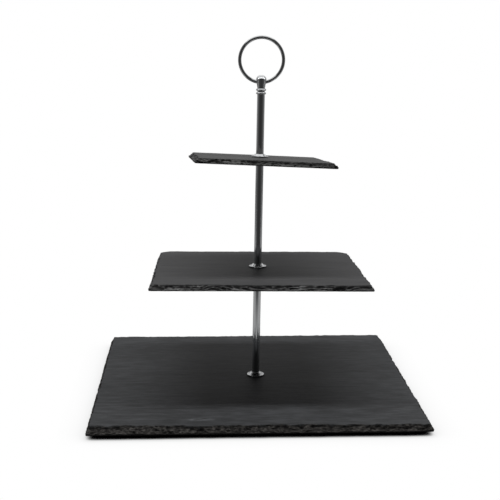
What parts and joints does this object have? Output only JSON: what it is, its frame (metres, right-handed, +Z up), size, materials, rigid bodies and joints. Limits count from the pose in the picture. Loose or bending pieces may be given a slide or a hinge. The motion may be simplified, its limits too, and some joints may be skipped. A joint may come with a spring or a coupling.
{
  "type": "tiered cake stand",
  "caption": "Tiered stand of square slate slabs on a thin chromed pole, with a finger ring at the top; tiers swivel and the ring tips over.",
  "frame": {"origin": "on the surface that the stand rests on, under the centre of the base slab", "axes": "+Z up, +X to the right and +Y to the rear, parallel to the base slab's sides; the pole leans 0.8 degrees to the right"},
  "size_m": [0.3, 0.3, 0.3384],
  "materials": {
    "slate": "riven, matt",
    "chrome": "polished",
    "zinc_steel": "bright zinc plated",
    "gasket_rubber": "matt",
    "foot_rubber": "matt"
  },
  "bodies": {
    "base": {"base_slate_plate": "slate", "base_upper_gasket": "gasket_rubber", "base_flange_washer": "chrome", "base_lower_gasket": "gasket_rubber", "base_lower_washer": "zinc_steel", "foot_front_left": "foot_rubber", "foot_front_right": "foot_rubber", "foot_rear_left": "foot_rubber", "foot_rear_right": "foot_rubber"},
    "column": {"base_screw": "zinc_steel", "lower_pole": "chrome", "lower_pole_insert": "zinc_steel", "lower_pole_stud": "zinc_steel", "middle_pole": "chrome", "middle_pole_insert": "zinc_steel", "middle_pole_stud": "zinc_steel", "upper_pole": "chrome", "upper_pole_insert": "zinc_steel", "upper_pole_stud": "zinc_steel", "pole_collar": "chrome", "finial": "chrome"},
    "middle_tier": {"middle_slate_plate": "slate", "middle_upper_gasket": "gasket_rubber", "middle_flange_washer": "chrome", "middle_lower_gasket": "gasket_rubber", "middle_lower_washer": "zinc_steel"},
    "top_tier": {"top_slate_plate": "slate", "top_upper_gasket": "gasket_rubber", "top_flange_washer": "chrome", "top_lower_gasket": "gasket_rubber", "top_lower_washer": "zinc_steel"},
    "ring": {"carry_ring": "chrome"}
  },
  "joints": [
    {"name": "column_swivel", "type": "hinge", "parent": "base", "child": "column", "pos_m": [0.00267, 0, 0.012], "axis": [0.014, 0, 0.9999], "continuous": true},
    {"name": "middle_swivel", "type": "hinge", "parent": "column", "child": "middle_tier", "pos_m": [0.00412, 0, 0.11619], "axis": [0.014, 0, 0.9999], "continuous": true},
    {"name": "top_swivel", "type": "hinge", "parent": "column", "child": "top_tier", "pos_m": [0.00561, 0, 0.22228], "axis": [0.014, 0, 0.9999], "continuous": true},
    {"name": "ring_tip", "type": "hinge", "parent": "column", "child": "ring", "pos_m": [0.00663, 0, 0.29527], "axis": [0.9924, 0.1219, -0.0139], "range_deg": [-172, 172]}
  ]
}
